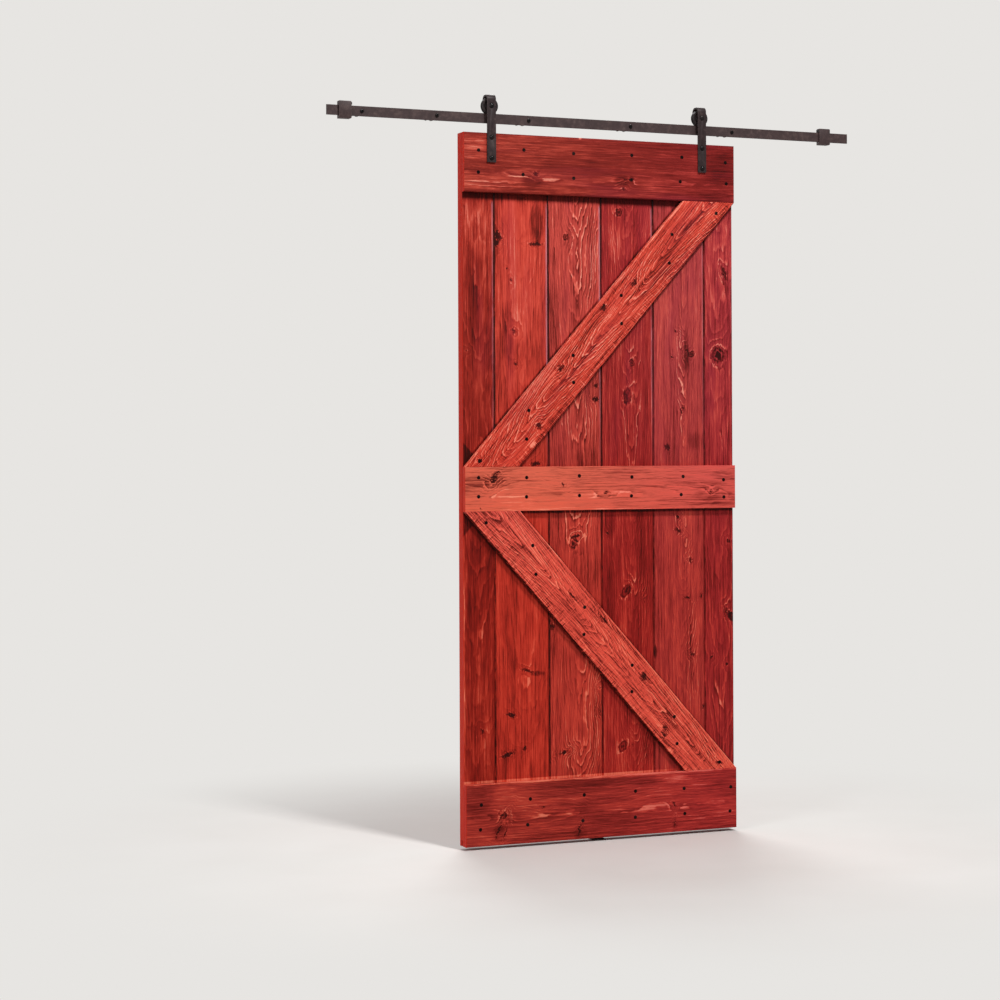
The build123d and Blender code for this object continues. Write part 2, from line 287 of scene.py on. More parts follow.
class Knot:
    """A knot on the face: its place, and its half sizes along and across its own slope.

    The slope is in degrees from the door's width downwards. An eye is an oval with a dark outline
    and rings, and the others are ragged dark marks. A faint knot shows little or no dark core.
    """

    def __init__(self, across, down, length, width, slope=0.0, faint=0.0, eye=False):
        self.place = (across, down)
        self.length = length
        self.width = width
        self.slope = math.radians(slope)
        self.faint = faint
        self.kind = "eye" if eye else "ragged"


class Patch:
    """An oval with soft ragged edges: its place, and its half sizes along and across the grain."""

    def __init__(self, across, down, length, width, amount):
        self.place = (across, down)
        self.length = length
        self.width = width
        self.amount = amount


class Board:
    """How one board looks.

    slope is the angle of the grain, from the door's width downwards, and span is where its two
    edges lie across the grain. The pale grain lines are as strong as lines says, and stronger in
    the patches of figure. The stain is darker in the patches of shade, or paler if negative.
    The growth rings are spacing apart, about a heart at a depth behind the face. edges is how
    much paler its low and high edges are, or darker if negative: painted highlight along lit edges
    and painted shade in the planks' joints, with some wear. ticks is the strength of the saw marks,
    and glint that of the painted highlight beside a plank's joint: only planks have one.
    """

    def __init__(self, slope, tone, seed, span, knots, figure, shade, **rest):
        self.slope = math.radians(slope)
        self.tone = tone
        self.seed = seed
        self.span = span
        self.knots = knots
        self.figure = figure
        self.shade = shade
        self.lines = rest.get("lines", 0.25)
        self.heart = rest.get("heart", sum(span) / 2)
        self.spacing = rest.get("spacing", 9.0)
        self.depth = rest.get("depth", 45.0)
        self.taper = rest.get("taper", 0.06)
        self.waver = rest.get("waver", 10.0)
        self.edges = rest.get("edges", (-0.10, 0.10))
        self.streaks = rest.get("streaks", 1.0)
        self.ticks = rest.get("ticks", 0.0)
        self.glint = rest.get("glint", 0.0)

    def directions(self):
        """Unit vectors along and across the grain, as (across, down) on the face."""
        along = (math.cos(self.slope), math.sin(self.slope))
        return along, (along[1], -along[0])

    def across_grain(self, place):
        """How far a point of the face lies across the grain."""
        across = self.directions()[1]
        return place[0] * across[0] + place[1] * across[1]


PLANK_EDGES = (0.0, 101.6, 279.4, 457.2, 635.0, 812.8, DOOR_WIDTH)
TOP_RAIL = (0.0, 178.0)
MIDDLE_RAIL = (1000.3, 1133.3)
BOTTOM_RAIL = (1947.6, 2133.6)
BRACE_WIDTH = 133.0
BRACE_RISE = MIDDLE_RAIL[0] - TOP_RAIL[1]
BRACE_FALL = BOTTOM_RAIL[0] - MIDDLE_RAIL[1]


def brace_slope(height):
    """The slope in degrees of a brace that fills the corners of a field of that height."""
    diagonal = math.hypot(DOOR_WIDTH, height)
    return math.degrees(math.atan2(height, DOOR_WIDTH) + math.asin(BRACE_WIDTH / diagonal))


def board_span(slope, down):
    """The least and greatest distance across the grain of a brace that starts at the left edge.

    down is where its lower left corner is, or its upper left corner if it slopes downwards.
    """
    edge = -down * math.cos(math.radians(slope))
    return (edge, edge + BRACE_WIDTH) if slope > 0 else (edge - BRACE_WIDTH, edge)


UPPER_SLOPE = -brace_slope(BRACE_RISE)
LOWER_SLOPE = brace_slope(BRACE_FALL)

BOARDS = {
    "plank_1": Board(
        90, (141, 36, 27), 1, PLANK_EDGES[0:2], edges=(0.0, 0.05), glint=0.55, depth=80.0,
        knots=(Knot(12, 653, 8, 5, 0, 0.45), Knot(60, 1790, 12, 8, 60, 0.5)),
        figure=(Patch(42, 515, 150, 9, 0.5), Patch(60, 1420, 130, 14, 0.35)),
        shade=(
            Patch(32, 520, 260, 22, 0.16), Patch(88, 735, 26, 16, -0.14),
            Patch(60, 1240, 110, 48, 0.10), Patch(25, 1470, 200, 28, 0.15),
            Patch(50, 290, 110, 50, -0.15), Patch(80, 640, 200, 18, 0.07),
            Patch(75, 1840, 90, 34, -0.14),
        ),
    ),
    "plank_2": Board(
        90, (178, 55, 43), 2, PLANK_EDGES[1:3], lines=0.16, edges=(-0.70, 0.05), glint=0.85, depth=90.0,
        knots=(
            Knot(116, 306, 20, 12, 50), Knot(113, 326, 13, 7, 90), Knot(240, 327, 23, 5, 0),
            Knot(145, 403, 4, 4), Knot(159, 438, 8, 6, 70), Knot(168, 592, 11, 9, 40, 0.2),
            Knot(173, 690, 9, 7, 60, 0.3), Knot(208, 1616, 28, 6, 18, 0.1), Knot(153, 1747, 17, 8, 15),
            Knot(142, 1866, 26, 7, -18, 0.1), Knot(197, 1850, 9, 5, -35, 0.1),
            Knot(238, 992, 20, 7, -10, 0.1),
        ),
        figure=(Patch(165, 560, 60, 40, 0.3), Patch(220, 1650, 120, 40, 0.25)),
        shade=(
            Patch(245, 265, 62, 24, 0.24), Patch(243, 300, 28, 14, 0.14), Patch(140, 620, 60, 30, 0.08),
            Patch(240, 1625, 8, 26, 0.26), Patch(160, 230, 40, 50, -0.08),
            Patch(200, 470, 160, 60, -0.07), Patch(142, 1500, 170, 34, 0.13),
            Patch(240, 1560, 210, 34, -0.09), Patch(240, 1850, 80, 34, -0.10),
            Patch(140, 555, 60, 26, 0.10), Patch(130, 2010, 60, 40, 0.10),
            Patch(160, 650, 50, 90, 0.06),
        ),
    ),
    "plank_3": Board(
        90, (173, 61, 54), 3, PLANK_EDGES[2:4], lines=0.34, heart=378.0, edges=(-0.70, 0.05), glint=0.9,
        depth=40.0, spacing=6.5,
        knots=(
            Knot(340, 302, 12, 9, 90, 0.25, eye=True), Knot(440, 753, 9, 7, 0),
            Knot(438, 795, 11, 8, 0), Knot(363, 1232, 19, 12, 100, eye=True),
            Knot(375, 1211, 13, 5, -5), Knot(290, 1487, 14, 10, 90, 0.2),
            Knot(448, 1677, 9, 6, 90, 0.35), Knot(452, 1747, 9, 6, 90, 0.3),
            Knot(330, 1869, 19, 6, -14, 0.15),
        ),
        figure=(
            Patch(400, 350, 190, 52, 0.75), Patch(385, 860, 90, 70, 0.55),
            Patch(375, 1180, 60, 60, 0.8), Patch(418, 1750, 200, 44, 1.1),
            Patch(375, 1880, 70, 70, 0.9),
        ),
        shade=(
            Patch(300, 600, 200, 20, 0.08), Patch(340, 280, 60, 30, 0.06),
            Patch(420, 1330, 60, 40, 0.05), Patch(390, 360, 80, 30, -0.06),
            Patch(410, 980, 40, 50, 0.10), Patch(420, 390, 70, 34, -0.07),
            Patch(420, 1170, 60, 36, -0.10), Patch(325, 1480, 90, 34, -0.10),
            Patch(300, 300, 60, 18, -0.06),
        ),
    ),
    "plank_4": Board(
        90, (147, 37, 37), 4, PLANK_EDGES[3:5], lines=0.26, heart=556.0, edges=(-0.70, 0.05), glint=0.7,
        depth=36.0, spacing=6.0, taper=0.09,
        knots=(
            Knot(521, 220, 11, 10, 90, eye=True), Knot(565, 683, 13, 8, 90, 0.15, eye=True),
            Knot(547, 785, 22, 12, 94, eye=True), Knot(478, 1205, 10, 6, 120, 0.4),
            Knot(540, 1385, 20, 12, -50, eye=True), Knot(602, 1407, 8, 5, 90, 0.4),
            Knot(527, 1861, 17, 11, -55, eye=True), Knot(560, 1858, 6, 4, 0, 0.4),
        ),
        figure=(
            Patch(563, 860, 150, 34, 0.6), Patch(570, 670, 50, 26, 0.5), Patch(585, 1370, 50, 40, 0.7),
            Patch(600, 1860, 70, 40, 0.5), Patch(500, 350, 120, 40, 0.1),
        ),
        shade=(
            Patch(600, 300, 120, 30, 0.06), Patch(590, 1120, 120, 40, 0.10),
            Patch(496, 1400, 190, 34, 0.10), Patch(530, 310, 60, 60, -0.11),
            Patch(618, 1860, 60, 22, 0.14), Patch(485, 1180, 40, 26, 0.12),
            Patch(600, 600, 60, 30, 0.08),
        ),
    ),
    "plank_5": Board(
        90, (158, 54, 55), 5, PLANK_EDGES[4:6], lines=0.2, heart=742.0, edges=(-0.60, 0.02), glint=0.35,
        depth=16.0, spacing=6.0, taper=0.10, waver=11.0,
        knots=(
            Knot(717, 583, 9, 5, 45, 0.1), Knot(770, 653, 12, 8, -30, eye=True),
            Knot(756, 646, 17, 6, 60, 0.35), Knot(703, 664, 4, 4),
            Knot(737, 828, 11, 7, 90, 0.1, eye=True), Knot(684, 943, 11, 9, 20),
            Knot(720, 1160, 11, 5, 30, 0.15), Knot(722, 1202, 15, 6, 25, 0.1),
            Knot(764, 1295, 12, 7, 80, 0.15), Knot(753, 1411, 13, 5, 15, 0.15),
            Knot(801, 1407, 9, 6, 80, 0.2), Knot(770, 1588, 11, 6, 10, 0.15),
            Knot(806, 1753, 9, 5, 90, 0.3),
        ),
        figure=(
            Patch(733, 720, 230, 16, 0.7), Patch(730, 1180, 60, 26, 0.5),
            Patch(768, 1560, 190, 24, 0.55), Patch(752, 1260, 60, 14, 0.6),
        ),
        shade=(
            Patch(748, 660, 50, 16, 0.18), Patch(782, 925, 32, 32, 0.11),
            Patch(680, 640, 430, 44, -0.10), Patch(676, 1460, 210, 38, 0.11),
            Patch(770, 1765, 70, 34, -0.10), Patch(670, 215, 30, 40, 0.10),
            Patch(640, 1575, 22, 6, 0.4), Patch(770, 400, 70, 30, 0.06),
        ),
    ),
    "plank_6": Board(
        90, (150, 42, 48), 6, PLANK_EDGES[5:7], edges=(-0.55, -0.05), glint=0.1, heart=862.0,
        depth=50.0,
        knots=(
            Knot(886, 395, 26, 8, 68), Knot(864, 655, 22, 19, 90, eye=True), Knot(864, 655, 13, 9, 70),
            Knot(897, 1237, 8, 7, 40, 0.15), Knot(902, 1470, 29, 11, 55),
            Knot(838, 1600, 9, 8, 90, 0.3), Knot(890, 1623, 7, 6, 90, 0.2),
        ),
        figure=(
            Patch(864, 655, 50, 44, 0.9), Patch(874, 920, 40, 10, 1.0), Patch(858, 1735, 80, 24, 0.5),
            Patch(880, 400, 90, 30, 0.3), Patch(895, 1450, 60, 18, 0.45),
        ),
        shade=(
            Patch(895, 430, 40, 14, 0.22), Patch(860, 390, 200, 60, -0.15),
            Patch(890, 1540, 100, 28, 0.08), Patch(840, 1300, 200, 26, 0.05),
            Patch(860, 890, 90, 44, -0.08), Patch(895, 1230, 70, 24, -0.07),
        ),
    ),
    "top_rail": Board(
        0, (126, 37, 28), 7, (-178.0, 0.0), edges=(-0.25, -0.05), lines=0.14, heart=-128.0, depth=30.0,
        taper=0.03, streaks=0.8,
        knots=(Knot(234, 117, 10, 7, 30), Knot(557, 119, 8, 7, 0), Knot(530, 148, 10, 6, -35, 0.3)),
        figure=(
            Patch(190, 128, 60, 14, 0.5), Patch(290, 133, 40, 7, 0.4), Patch(540, 135, 50, 20, 0.5),
            Patch(100, 150, 110, 26, 0.2), Patch(760, 125, 120, 14, 0.12),
        ),
        shade=(
            Patch(222, 140, 34, 28, 0.22), Patch(525, 125, 30, 15, 0.30), Patch(850, 160, 70, 17, 0.20),
            Patch(60, 140, 110, 34, -0.15), Patch(250, 140, 240, 34, -0.10),
            Patch(30, 50, 50, 50, -0.10), Patch(880, 90, 60, 80, 0.10), Patch(120, 60, 160, 50, -0.10),
            Patch(330, 150, 60, 24, -0.10), Patch(383, 2, 6, 3, -0.5), Patch(526, 147, 32, 8, -0.18),
            Patch(262, 132, 40, 5, -0.18), Patch(470, 70, 90, 50, 0.05), Patch(850, 60, 60, 50, 0.12),
            Patch(700, 150, 80, 20, 0.08),
        ),
    ),
    "middle_rail": Board(
        0, (209, 105, 84), 8, (-1133.3, -1000.3), edges=(0.18, -0.06), heart=-1086.0, depth=40.0,
        taper=0.02, streaks=0.85, lines=0.20,
        knots=(
            Knot(94, 1034, 20, 9, -65), Knot(106, 1016, 11, 4, -20, 0.2),
            Knot(320, 1054, 10, 4, 50, 0.2), Knot(471, 1080, 15, 5, -10, 0.15),
            Knot(830, 1077, 8, 7, 30, 0.15), Knot(50, 1124, 3, 3),
        ),
        figure=(
            Patch(100, 1050, 60, 30, 0.5), Patch(150, 1088, 110, 7, 1.0), Patch(395, 1088, 120, 9, 1.0),
            Patch(660, 1075, 150, 14, 0.5), Patch(830, 1077, 50, 16, 0.6),
        ),
        shade=(
            Patch(112, 1040, 26, 18, 0.16), Patch(152, 1090, 52, 3, -0.45),
            Patch(395, 1087, 60, 3, -0.40), Patch(490, 1080, 50, 5, -0.35),
            Patch(36, 1060, 60, 60, 0.10), Patch(880, 1030, 50, 24, 0.10),
            Patch(640, 1060, 200, 50, -0.06), Patch(100, 1095, 140, 34, -0.14),
            Patch(300, 1110, 200, 22, -0.08), Patch(600, 1020, 200, 16, 0.06),
            Patch(800, 1075, 130, 40, 0.08), Patch(860, 1110, 60, 20, 0.10),
        ),
    ),
    "bottom_rail": Board(
        0, (150, 53, 49), 9, (-2133.6, -1947.6), edges=(-0.10, 0.42), heart=-2052.0, depth=34.0,
        taper=0.02,
        knots=(
            Knot(118, 2042, 14, 11, 30, 0.1, eye=True), Knot(253, 2028, 8, 5, 0, 0.3),
            Knot(104, 2092, 30, 4, -62, 0.2), Knot(126, 2098, 24, 4, -74, 0.3),
            Knot(372, 2104, 24, 4, -78, 0.25), Knot(697, 2106, 20, 3, -86, 0.3),
            Knot(694, 2047, 12, 7, 60, 0.3),
        ),
        figure=(
            Patch(265, 2053, 100, 8, 0.6), Patch(545, 2054, 110, 8, 0.5), Patch(700, 2047, 50, 18, 0.4),
            Patch(120, 2050, 50, 30, 0.5), Patch(800, 2075, 120, 20, 0.3),
        ),
        shade=(
            Patch(108, 2098, 22, 30, 0.14), Patch(36, 2000, 60, 50, 0.18),
            Patch(312, 2055, 45, 3, -0.40), Patch(500, 2052, 45, 3, -0.30),
            Patch(622, 2049, 60, 4, -0.30), Patch(125, 1968, 44, 12, -0.22),
            Patch(690, 1968, 60, 14, -0.24), Patch(400, 1965, 240, 14, 0.10),
            Patch(373, 2113, 24, 22, 0.12), Patch(697, 2116, 10, 20, 0.10),
            Patch(450, 2120, 460, 16, 0.08), Patch(330, 2085, 120, 24, -0.08),
            Patch(720, 2030, 200, 60, -0.07), Patch(560, 2050, 140, 24, -0.12),
            Patch(860, 2060, 60, 50, -0.06), Patch(840, 2000, 70, 16, 0.06),
        ),
    ),
    "upper_brace": Board(
        UPPER_SLOPE, (193, 61, 47), 10, board_span(UPPER_SLOPE, MIDDLE_RAIL[0]), ticks=1.3, streaks=1.6,
        edges=(-0.16, 0.26), lines=0.40, spacing=6.5, depth=30.0, taper=-0.13, waver=10.0,
        knots=(
            Knot(565, 437, 15, 7, -62), Knot(459, 515, 13, 9, -45), Knot(313, 703, 14, 9, -35),
            Knot(243, 876, 16, 10, 80), Knot(47, 981, 9, 6, -10),
        ),
        figure=(
            Patch(745, 300, 200, 62, 1.0), Patch(590, 430, 90, 60, 0.5), Patch(270, 770, 210, 60, 1.0),
            Patch(440, 610, 110, 60, 0.5), Patch(70, 955, 90, 60, 0.5),
        ),
        shade=(
            Patch(222, 934, 12, 7, -0.5), Patch(262, 905, 6, 6, -0.45), Patch(240, 935, 22, 6, 0.16),
            Patch(520, 540, 90, 40, -0.05), Patch(120, 950, 60, 40, 0.08),
        ),
    ),
    "lower_brace": Board(
        LOWER_SLOPE, (216, 93, 83), 11, board_span(LOWER_SLOPE, MIDDLE_RAIL[1]), ticks=1.3, streaks=1.6,
        edges=(0.10, 0.34), lines=0.40, spacing=6.5, depth=30.0, taper=0.13, waver=10.0,
        knots=(
            Knot(350, 1393, 17, 6, 50), Knot(455, 1468, 18, 7, 42), Knot(591, 1649, 16, 11, 60),
            Knot(663, 1820, 21, 11, 85), Knot(853, 1927, 10, 6, 0),
        ),
        figure=(
            Patch(190, 1250, 200, 62, 1.0), Patch(480, 1510, 110, 60, 0.5),
            Patch(740, 1790, 200, 60, 1.0),
        ),
        shade=(
            Patch(683, 1880, 12, 7, -0.5), Patch(655, 1862, 12, 5, 0.2), Patch(60, 1165, 60, 40, 0.10),
            Patch(250, 1330, 110, 60, -0.04), Patch(700, 1890, 60, 20, 0.06),
            Patch(860, 1925, 40, 30, -0.05),
        ),
    ),
}

SIDE_TONE = (200, 36, 16)
# Colour of the painted highlight beside the planks' joints
GROOVE_GLINT = (196, 146, 162)
# Tint of the painted shade over each board's lower part
LOWER_SHADE = (252, 178, 140)
# Colour of the painted shadow under the top rail
PAINTED_RAIL_SHADOW = (100, 14, 10)
COOL_END = (250, 222, 255)
COOL_STAIN = (120, 30, 60)
# Place in the stain's value, colour and how much of it is mixed into the board's own tone
STAIN_STOPS = (
    (0.0, (30, 4, 1), 0.88),
    (0.25, (72, 10, 6), 0.56),
    (0.50, (0, 0, 0), 0.0),
    (0.75, (240, 104, 82), 0.45),
    (1.0, (255, 176, 150), 0.72),
)


class Pine(Tree):
    """Red stained pine of one board. The stain's value runs from 0, dark, to 1, pale, and painted shade
    and highlights are added to it.
    """

    def __init__(self, name, board):
        super().__init__(name)
        self.board = board
        scale = (1 / MM, 1 / MM, -1 / MM)
        self.face = self.scaled(self.object_place(), scale, (-DOOR_LEFT, -PLANK_FRONT, DOOR_TOP))
        along_way, across_way = board.directions()
        self.along = self.face_way(along_way)
        self.across = self.face_way(across_way)
        self.x = self.face_way((1.0, 0.0))
        self.down = self.face_way((0.0, 1.0))
        self.inwards = self.dot(self.face, (0.0, 1.0, 0.0))
        self.grain = self.joined(self.along, self.across, self.inwards)
        self.ragged = self.grained((26.0, 8.0, 8.0), 0, detail=4.0, roughness=0.65)

    def face_way(self, way):
        """How far the point lies on the door's face in a direction given as (across, down)."""
        return self.dot(self.face, (way[0], 0.0, way[1]))

    def grained(self, size, number, detail=2.0, roughness=0.5):
        """Noise laid along the grain. Each number gives another noise, and so does each board."""
        return self.noise(self.grain, size, self.board.seed + number, detail, roughness)

    def add_patches(self, patches, start):
        """start plus each patch's amount inside it."""
        total = start
        for patch in patches:
            reach = self.reach(self.face, patch.place, self.board.slope, patch.length, patch.width)
            total = self.step(reach + self.ragged * 0.6, 1.25, 0.45) * patch.amount + total
        return total

    def knot_fields(self):
        """How near the closest knot of each kind is, and how the knots push and swell the grain."""
        wandering = self.jitter(self.grain, (13.0, 9.0, 9.0), self.board.seed + 10, 9.0)
        warped = self.vector_math("ADD", self.face, wandering)
        nearest = {}
        push = 0.0
        swell = 0.0
        for knot in self.board.knots:
            reach = self.reach(warped, knot.place, knot.slope, knot.length, knot.width)
            near = self.fade(reach * reach * 0.16)
            push = (self.across - self.board.across_grain(knot.place)) * near + push
            swell = near + swell
            reach = reach + knot.faint
            closest = nearest.get(knot.kind, reach)
            nearest[knot.kind] = self.math("MINIMUM", closest, reach)
        return nearest, push, swell

    def knot_marks(self, nearest):
        """What the knots take from the value: dark cores, cracks and outlines, less pale rims."""
        specks = self.grained((7.0, 4.5, 4.5), 30, detail=3.0, roughness=0.7)
        reach = nearest["ragged"]
        core = self.step(reach + specks * 1.1, 1.05, 0.75)
        broken = self.step(specks - reach * 0.30, -0.34, -0.14)
        rim = self.step(reach, 1.9, 1.1) * self.step(specks, 0.10, 0.30)
        total = core * (broken * 0.33 + 0.24) + self.fade(reach * reach * 0.35) * 0.10 - rim * 0.34
        if "eye" not in nearest:
            return total
        reach = nearest["eye"] + specks * 0.30
        outline = self.step(reach, 0.62, 0.92) * self.step(reach, 1.24, 1.0)
        inside = self.step(reach, 1.05, 0.85)
        crack = self.step(reach - specks * 0.8, 0.62, 0.20)
        crescent = self.step(reach, 1.15, 1.34) * self.step(reach, 1.75, 1.45)
        crescent = crescent * self.step(self.ragged, -0.05, 0.20)
        return total + outline * 0.34 + inside * 0.14 + crack * 0.36 - crescent * 0.34

    def growth_rings(self, push, swell):
        """The late wood's line in each growth ring about the heart, and the early wood beside it."""
        board = self.board
        wander = self.grained((420.0, 900.0, 900.0), 40, detail=1.0)
        wiggle = self.grained((110.0, 30.0, 30.0), 60, detail=3.0, roughness=0.55)
        beside = self.across - push * 0.75 - board.heart + wander * 26.0
        behind = self.inwards + board.depth + wander * 30.0
        radius = self.root(beside * beside + behind * behind) + self.along * board.taper
        radius = radius + wiggle * board.waver + swell * (board.spacing * 1.3)
        rings = radius / board.spacing
        ring = self.math("FLOOR", rings)
        phase = rings - ring
        late = self.step(phase, 0.58, 0.82) * self.step(phase, 0.98, 0.88)
        early = self.step(phase, 0.88, 1.0) + self.step(phase, 0.30, 0.0)
        return late * (self.chance(ring) * 0.8 + 0.3), early

    def joint_value(self, front, low_edge, high_edge):
        """What a plank's value gains at its joints and beside the boards that lie on it: painted shade
        in the joints' lower half, painted shadow under the rails and beside the braces, and a painted
        highlight just above the bottom rail.
        """
        lower_half = self.step(self.down, 850.0, 1250.0)
        joints = low_edge * lower_half * 0.22 - high_edge * lower_half * 0.14
        shadow = self.step(self.down - TOP_RAIL[1], 34.0, 8.0) * 0.14
        shadow = shadow + self.step(self.distance(self.down, MIDDLE_RAIL[1]), 11.0, 5.0) * 0.48
        for brace in (BOARDS["upper_brace"], BOARDS["lower_brace"]):
            place = self.face_way(brace.directions()[1])
            outside = self.distance(place, sum(brace.span) / 2) - BRACE_WIDTH / 2
            shadow = shadow + self.step(outside, 9.0, 3.0) * 0.36
        # Painted highlight: a paler band on the planks just above the bottom rail's top edge, on the
        # left part of the door
        ledge_highlight = self.step(self.distance(self.down, BOTTOM_RAIL[0]), 9.0, 6.0)
        ledge_highlight = ledge_highlight * self.step(self.x, 780.0, 560.0) * 0.42
        return joints + (ledge_highlight - shadow) * front

    def joint_colour(self, colour, front, fibre, rubbed):
        """A plank's colour with the painted shadow under the top rail and the painted highlight beside
        its joint.
        """
        below = self.down - TOP_RAIL[1]
        # Painted shadow: a dark band on the plank just under the top rail
        dark = self.step(below + fibre * 3.0, 27.0, 12.0) * front
        colour = self.multiplied_tint(dark * 0.82, colour, PAINTED_RAIL_SHADOW)
        # Painted highlight: a patchy pale band at the plank's right edge, beside its joint
        band = self.step(self.board.span[1] - self.across + fibre * 3.0, 8.0, 3.0)
        lit = self.step(self.down, 1100.0, 500.0) * self.step(below, 20.0, 34.0)
        shine = band * self.clamp(rubbed) * lit * front * (self.board.glint * 0.62)
        return self.mix(shine, colour, GROOVE_GLINT)

    def stained(self, value):
        """The board's colour at a value, cooler at the door's upper end, with painted shade deepening
        it towards its foot.
        """
        tone = self.board.tone
        stops = [(place, blended(tone, colour, share)) for place, colour, share in STAIN_STOPS]
        colour = self.ramp(self.clamp(value), stops)
        cool = self.step(self.grained((340.0, 50.0, 50.0), 160), -0.1, 0.6)
        cool = cool * self.step(self.down, 1500.0, 700.0) * 0.35
        colour = self.mix(cool, colour, blended(tone, COOL_STAIN, 0.5))
        # Painted shade: the lower part deeper and more saturated, where the upper part's sheen fades
        colour = self.multiplied_tint(self.step(self.down, 500.0, 1500.0) * 0.6, colour, LOWER_SHADE)
        if not self.board.slope:
            colour = self.multiplied_tint(self.step(self.x, 200.0, 900.0), colour, COOL_END)
        return colour

    def build(self):
        """Links the board's colour, gloss and relief to its shader."""
        board = self.board
        blotch = self.grained((110.0, 24.0, 24.0), 20, detail=4.0, roughness=0.6)
        fibre = self.grained((70.0, 2.0, 2.0), 80, detail=3.0, roughness=0.7)
        thread = self.grained((210.0, 4.6, 4.6), 90, detail=3.0, roughness=0.65)
        streak = self.grained((420.0, 10.0, 10.0), 100, roughness=0.6)
        broad = self.grained((520.0, 70.0, 70.0), 120)
        nearest, push, swell = self.knot_fields()
        line, early = self.growth_rings(push, swell)
        strength = self.clamp(self.add_patches(board.figure, board.lines))

        value = 0.50 + broad * 0.28 + blotch * 0.28
        value = value + fibre * (0.46 * board.streaks) + thread * (0.35 * board.streaks)
        value = value - self.step(streak, 0.04, 0.42) * (0.13 * board.streaks)
        value = value + line * strength * 0.56 - early * (strength * 0.22 + 0.02)
        value = value - self.add_patches(board.shade, 0.0) - self.knot_marks(nearest)

        from_low = self.across - board.span[0]
        low_edge = self.step(from_low, 6.5, 3.0)
        high_edge = self.step(board.span[1] - self.across, 5.5, 2.5)
        # Painted highlight and shade along the boards' edges and in the planks' joints, with some wear,
        # made patchy
        wear_and_sheen = self.clamp(self.ragged + blotch + 0.80)
        value = value + (low_edge * board.edges[0] + high_edge * board.edges[1]) * wear_and_sheen
        front = self.step(self.inwards, 12.0, 4.0)
        if board.glint:
            value = value + self.joint_value(front, low_edge, high_edge)
        height = line * 0.18 + fibre * 0.16 + thread * 0.14 + value * 0.25
        if board.ticks:
            edge = self.step(from_low, 30.0, 4.0)
            cuts = self.grained((3.2, 34.0, 34.0), 140, roughness=0.7)
            value = value + self.step(cuts, 0.08, 0.42) * (edge * 0.24 + 0.12) * board.ticks
            value = value - self.step(cuts, -0.08, -0.40) * (edge * 0.24 + 0.14) * board.ticks
            # Painted shade on the brace's lower side face, which faces down
            shaded_lower_side = self.step(from_low, 1.2, 0.5)
            value = value - shaded_lower_side * 0.5
            height = height + cuts * edge * 0.14

        colour = self.stained(value)
        if board.glint:
            colour = self.joint_colour(colour, front, fibre, wear_and_sheen * 0.8 + thread * 0.9)
        colour = self.mix(self.step(self.x, 1.3, 0.5) * 0.8, colour, SIDE_TONE)
        gloss = self.clamp(0.52 + fibre * 0.16 + blotch * 0.10)
        self.set(Base_Color=colour, Roughness=gloss, Specular_IOR_Level=0.08)
        self.relief(height)
        return self.material


def paint(node, material):
    """Gives a CAD node its only material."""
    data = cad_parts[node].data
    data.materials.clear()
    data.materials.append(material)


def paint_boards():
    """Gives each board of the door its own wood."""
    for name, board in BOARDS.items():
        paint(name, Pine(f"stained_pine_{name}", board).build())


# Metals and rubber


def coated_steel(name, colour, roughness, gloss=0.25, wear=0.25):
    """Dark satin coating with slight mottling, orange peel and rubbed spots."""
    tree = Tree(name)
    place = tree.place()
    mottle = tree.noise(place, 14.0, 1, detail=3.0, roughness=0.6)
    peel = tree.noise(place, 1.2, 2)
    smear = tree.noise(place, (26.0, 26.0, 60.0), 3)
    rubbed = tree.step(mottle + peel * 0.5, 0.28, 0.75) * wear
    dull = blended(colour, (20, 16, 16), 0.35)
    pale = blended(colour, (150, 128, 118), 0.28)
    shade = tree.clamp(0.5 + mottle * 0.55 + smear * 0.35)
    base = tree.ramp(shade, ((0.0, dull), (0.5, colour), (1.0, pale)))
    base = tree.mix(rubbed, base, blended(colour, (168, 140, 120), 0.5))
    rough = tree.clamp(roughness + mottle * 0.14 + peel * 0.06)
    tree.set(Base_Color=base, Roughness=rough, Specular_IOR_Level=gloss)
    tree.relief(peel * 0.05 + mottle * 0.02)
    return tree.material


def bare_metal(name, colour, roughness, brush=(30.0, 0.5, 30.0)):
    """Plated or ground metal with fine marks and cloudy plating."""
    tree = Tree(name)
    place = tree.place()
    cloud = tree.noise(place, 5.0, 4, detail=3.0)
    marks = tree.noise(place, brush, 5, detail=3.0, roughness=0.7)
    dull = blended(colour, (60, 58, 54), 0.35)
    bright = blended(colour, (250, 250, 248), 0.4)
    shade = tree.clamp(0.5 + cloud * 0.7 + marks * 0.3)
    base = tree.ramp(shade, ((0.0, dull), (0.55, colour), (1.0, bright)))
    gloss = tree.clamp(roughness + cloud * 0.12 + marks * 0.14)
    tree.set(Base_Color=base, Roughness=gloss, Metallic=1.0)
    tree.relief(marks * 0.02 + cloud * 0.02)
    return tree.material


def rubber(name):
    """Matt black rubber with a dusty bloom and fine pits."""
    tree = Tree(name)
    place = tree.place()
    bloom = tree.noise(place, 6.0, 6, detail=3.0)
    pits = tree.noise(place, 0.7, 7)
    base = tree.ramp(tree.clamp(0.5 + bloom * 0.8), ((0.0, (22, 22, 23)), (1.0, (52, 51, 50))))
    tree.set(Base_Color=base, Roughness=tree.clamp(0.78 + pits * 0.2), Specular_IOR_Level=0.3)
    tree.relief(pits * 0.06)
    return tree.material


BRONZE = coated_steel("bronze_steel", (55, 41, 41), 0.52)
BRONZE_DARK = coated_steel("bronze_steel_strap", (39, 28, 29), 0.5, gloss=0.2, wear=0.15)
